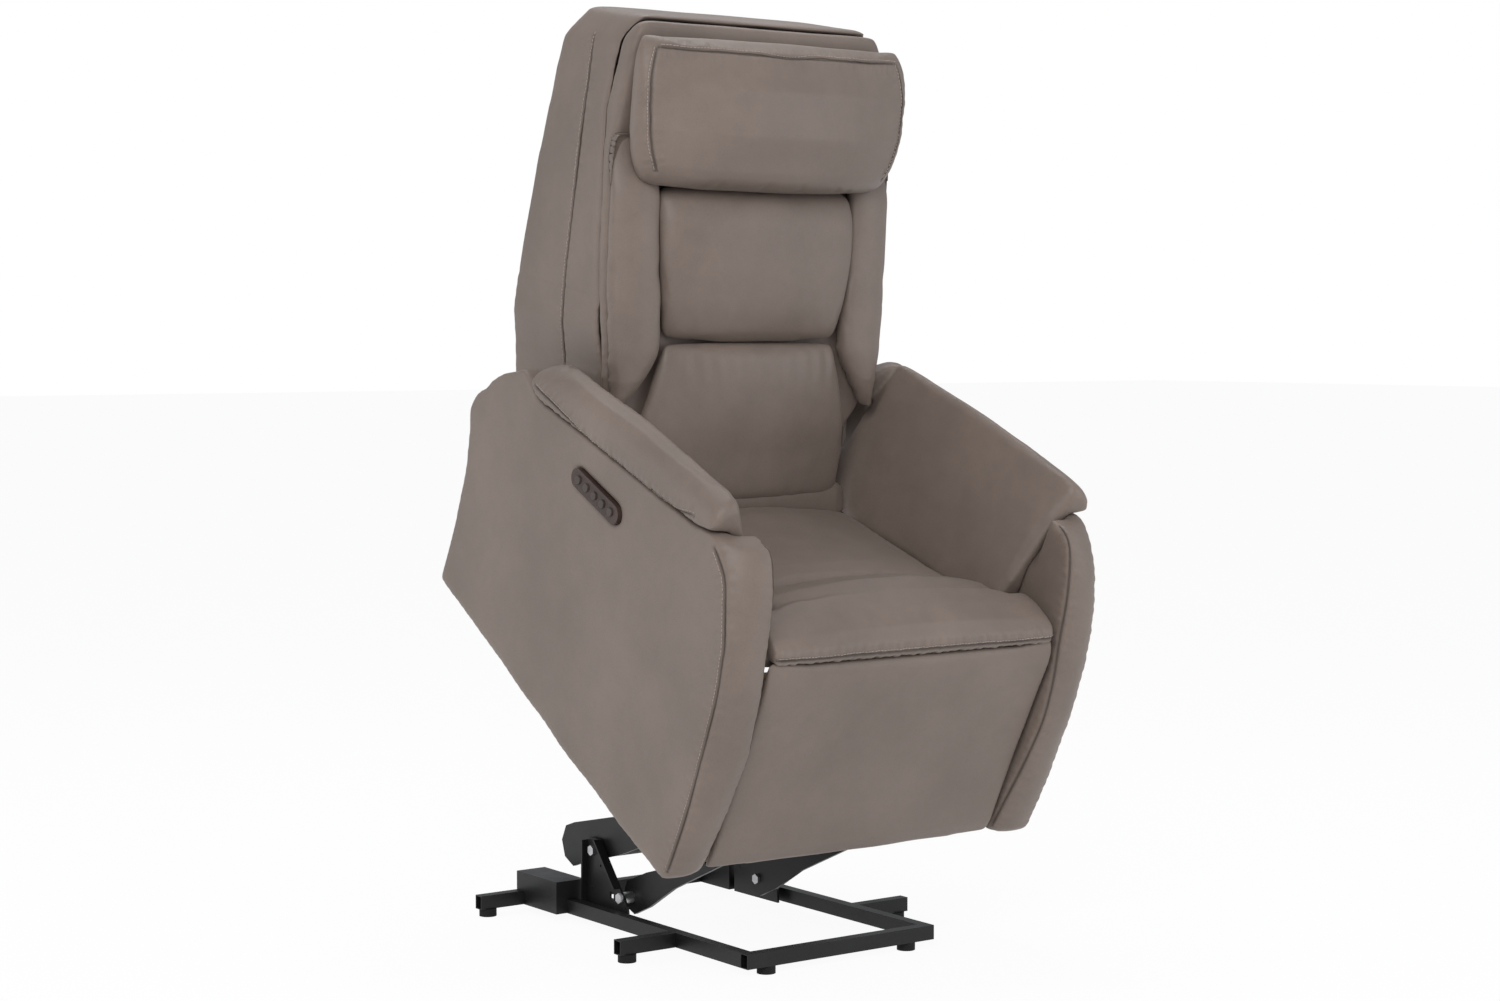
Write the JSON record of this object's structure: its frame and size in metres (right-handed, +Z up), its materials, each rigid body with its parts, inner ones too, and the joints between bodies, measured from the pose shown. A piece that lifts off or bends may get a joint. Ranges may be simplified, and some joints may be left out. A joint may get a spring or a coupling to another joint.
{
  "type": "lift recliner chair",
  "caption": "Powered lift recliner chair on a steel tube base with crossed lift links, padded arms, reclining back, folding footrest and tilting headrest.",
  "frame": {"origin": "on the floor, below the middle of the raised chair's overall box", "axes": "+Z up, the chair faces -Y, +X to the right when looking at its front"},
  "size_m": [0.7738, 0.9031, 1.6009],
  "materials": {
    "cover": "soft coated upholstery with a fine grain and topstitched seams",
    "frame_black": "satin black powder coat on steel tube and plate",
    "bolt_silver": "zinc plated pivot bolts and pins",
    "rod_steel": "polished push rods",
    "motor_black": "dark moulded motor and box housings",
    "foot_rubber": "black rubber",
    "board_wood": "plywood",
    "switch_plate": "dark smooth plastic",
    "button_plastic": "dark smooth plastic"
  },
  "bodies": {
    "base": {"left_rail": "frame_black", "right_rail": "frame_black", "front_cross_tube": "frame_black", "rear_cross_tube": "frame_black", "middle_outriggers": "frame_black", "rear_outriggers": "frame_black", "corner_boxes": "frame_black", "left_upright": "frame_black", "right_upright": "frame_black", "rubber_feet": "foot_rubber", "pivot_bolts": "bolt_silver"},
    "lift_links": {"left_upper_link": "frame_black", "right_upper_link": "frame_black", "torque_tube": "frame_black"},
    "lower_links": {"left_lower_link": "frame_black", "right_lower_link": "frame_black", "link_tie_tube": "frame_black"},
    "lift_motor_unit": {"lift_motor": "motor_black"},
    "lift_rod_unit": {"lift_rod": "rod_steel"},
    "recline_motor_unit": {"recline_motor": "motor_black"},
    "recline_rod_unit": {"recline_rod": "rod_steel"},
    "chassis": {"lift_plates": "frame_black", "clevis_tube": "frame_black", "front_seat_tube": "frame_black", "middle_seat_tube": "frame_black", "rear_seat_tube": "frame_black", "mechanism_plates": "frame_black", "back_hinge_brackets": "frame_black", "panel_spacers": "bolt_silver", "seat_board": "board_wood", "footrest_gear_motor": "motor_black", "power_box": "motor_black", "seat_cushion": "cover", "front_seat_roll": "cover", "left_side_panel": "cover", "right_side_panel": "cover", "left_arm_pad": "cover", "right_arm_pad": "cover", "switch_housing": "switch_plate"},
    "main_arms": {"footrest_arms": "frame_black", "footrest_drive_tube": "frame_black"},
    "cross_arms": {"footrest_cross_arms": "frame_black"},
    "short_links": {"footrest_links": "frame_black"},
    "ottoman": {"footrest_carriers": "frame_black", "footrest_board": "board_wood", "footrest_pad": "cover"},
    "backrest": {"back_frame": "frame_black", "back_core": "cover", "back_shell": "cover", "lumbar_cushion": "cover", "shoulder_cushion": "cover", "side_bolsters": "cover", "headrest_knuckles": "frame_black"},
    "headrest": {"headrest_plate": "frame_black", "headrest_pillow": "cover"},
    "push_button_1": {"button_1": "button_plastic"},
    "push_button_2": {"button_2": "button_plastic"},
    "push_button_3": {"button_3": "button_plastic"},
    "push_button_4": {"button_4": "button_plastic"},
    "push_button_5": {"button_5": "button_plastic"}
  },
  "joints": [
    {"name": "lift", "type": "hinge", "parent": "base", "child": "lift_links", "pos_m": [0, 0.2812, 0.128], "axis": [1, 0, 0], "range_deg": [0, 23.53]},
    {"name": "seat_tip", "type": "hinge", "parent": "lift_links", "child": "chassis", "pos_m": [0, -0.14747, 0.27321], "axis": [1, 0, 0], "range_deg": [-50.55, 0]},
    {"name": "lower_link_turn", "type": "hinge", "parent": "base", "child": "lower_links", "pos_m": [0, 0.1922, 0.057], "axis": [1, 0, 0], "range_deg": [0, 19.12]},
    {"name": "lift_motor_turn", "type": "hinge", "parent": "chassis", "child": "lift_motor_unit", "pos_m": [0, -0.16086, 0.33384], "axis": [1, 0, 0], "range_deg": [0, 49.29]},
    {"name": "lift_rod_slide", "type": "slide", "parent": "lift_motor_unit", "child": "lift_rod_unit", "axis": [0, 0.9398, -0.3417], "range_m": [-0.0521, 0]},
    {"name": "recline", "type": "hinge", "parent": "chassis", "child": "backrest", "pos_m": [0, 0.15908, 0.77733], "axis": [1, 0, 0], "range_deg": [-45, 0]},
    {"name": "recline_motor_turn", "type": "hinge", "parent": "chassis", "child": "recline_motor_unit", "pos_m": [0, 0.0222, 0.62173], "axis": [1, 0, 0], "range_deg": [-10.03, 0]},
    {"name": "recline_rod_slide", "type": "slide", "parent": "recline_motor_unit", "child": "recline_rod_unit", "axis": [0, 0.8443, 0.5358], "range_m": [-0.0576, 0]},
    {"name": "headrest_tilt", "type": "hinge", "parent": "backrest", "child": "headrest", "pos_m": [0, 0.02866, 1.28642], "axis": [1, 0, 0], "range_deg": [0, 22]},
    {"name": "footrest_open", "type": "hinge", "parent": "chassis", "child": "main_arms", "pos_m": [0, -0.27508, 0.52806], "axis": [1, 0, 0], "range_deg": [-88, 0]},
    {"name": "cross_arm_turn", "type": "hinge", "parent": "main_arms", "child": "cross_arms", "pos_m": [0, -0.21379, 0.40777], "axis": [1, 0, 0], "range_deg": [0, 126.02]},
    {"name": "short_link_turn", "type": "hinge", "parent": "main_arms", "child": "short_links", "pos_m": [0, -0.1525, 0.28748], "axis": [1, 0, 0], "range_deg": [0, 126.02]},
    {"name": "ottoman_turn", "type": "hinge", "parent": "cross_arms", "child": "ottoman", "pos_m": [0, -0.32701, 0.4813], "axis": [1, 0, 0], "range_deg": [-126.02, 0]},
    {"name": "press_button_1", "type": "slide", "parent": "chassis", "child": "push_button_1", "axis": [1, 0, 0], "range_m": [0, 0.001], "stiffness_N_per_m": 800},
    {"name": "press_button_2", "type": "slide", "parent": "chassis", "child": "push_button_2", "axis": [1, 0, 0], "range_m": [0, 0.001], "stiffness_N_per_m": 800},
    {"name": "press_button_3", "type": "slide", "parent": "chassis", "child": "push_button_3", "axis": [1, 0, 0], "range_m": [0, 0.001], "stiffness_N_per_m": 800},
    {"name": "press_button_4", "type": "slide", "parent": "chassis", "child": "push_button_4", "axis": [1, 0, 0], "range_m": [0, 0.001], "stiffness_N_per_m": 800},
    {"name": "press_button_5", "type": "slide", "parent": "chassis", "child": "push_button_5", "axis": [1, 0, 0], "range_m": [0, 0.001], "stiffness_N_per_m": 800}
  ],
  "couplings": [
    {"joint": "seat_tip", "follows": "lift", "ratio": -2.1475},
    {"joint": "lower_link_turn", "follows": "lift", "ratio": 0.81194},
    {"joint": "lift_motor_turn", "follows": "lift", "ratio": 2.094},
    {"joint": "lift_rod_slide", "follows": "lift", "m_per_rad": -0.12662},
    {"joint": "recline_motor_turn", "follows": "recline", "ratio": 0.2225},
    {"joint": "recline_rod_slide", "follows": "recline", "m_per_rad": 0.073211},
    {"joint": "cross_arm_turn", "follows": "footrest_open", "ratio": -1.4318},
    {"joint": "short_link_turn", "follows": "footrest_open", "ratio": -1.4318},
    {"joint": "ottoman_turn", "follows": "footrest_open", "ratio": 1.4318}
  ]
}
